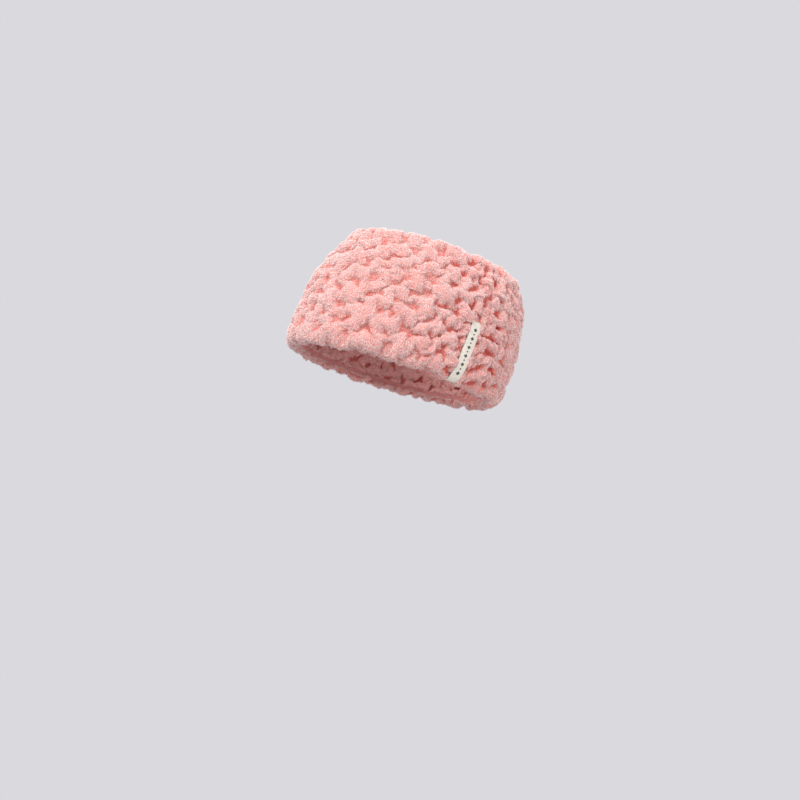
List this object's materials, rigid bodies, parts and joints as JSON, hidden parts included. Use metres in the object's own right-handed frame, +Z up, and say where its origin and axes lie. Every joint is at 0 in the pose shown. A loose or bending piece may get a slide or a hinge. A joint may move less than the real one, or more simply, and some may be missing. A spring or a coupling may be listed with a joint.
{
  "type": "spa headband",
  "caption": "Wide elastic terry headband: a puckered two-layer oval cloth ring with a small woven side label, in its worn shape.",
  "frame": {"origin": "bottom centre of the band's bounding box, on the plane of the lower edge", "axes": "+Z up through the head opening towards the crown, -Y towards the wearer's face, +X towards the wearer's left, where the label is"},
  "size_m": [0.1814, 0.2172, 0.12],
  "materials": {
    "terry": "fluffy looped terry pile, puckered, coral pink, matte",
    "lining": "short looped terry pile, softly puckered, coral pink, matte",
    "elastic": "yarn-covered elastic, pink, matte",
    "thread": "spun polyester sewing thread, pink",
    "label": "undyed ribbed cotton tape, matte"
  },
  "bodies": {
    "back_half": {"outer_panel_back": "terry", "lining_panel_back": "lining", "elastic_yarn_back_1": "elastic", "elastic_yarn_back_2": "elastic", "elastic_yarn_back_3": "elastic", "elastic_yarn_back_4": "elastic", "elastic_yarn_back_5": "elastic", "elastic_yarn_back_6": "elastic", "elastic_yarn_back_7": "elastic", "elastic_yarn_back_8": "elastic", "lower_edge_stitch_back": "thread", "upper_edge_stitch_back": "thread", "side_seam_thread_left": "thread", "side_seam_thread_right": "thread"},
    "front_half": {"outer_panel_front": "terry", "lining_panel_front": "lining", "elastic_yarn_front_1": "elastic", "elastic_yarn_front_2": "elastic", "elastic_yarn_front_3": "elastic", "elastic_yarn_front_4": "elastic", "elastic_yarn_front_5": "elastic", "elastic_yarn_front_6": "elastic", "elastic_yarn_front_7": "elastic", "elastic_yarn_front_8": "elastic", "lower_edge_stitch_front": "thread", "upper_edge_stitch_front": "thread", "woven_label": "label", "label_stitch_lower": "thread", "label_stitch_upper": "thread"}
  },
  "joints": [
    {"name": "band_stretch", "type": "slide", "parent": "back_half", "child": "front_half", "axis": [0, -1, 0], "range_m": [0, 0.03], "stiffness_N_per_m": 150}
  ]
}
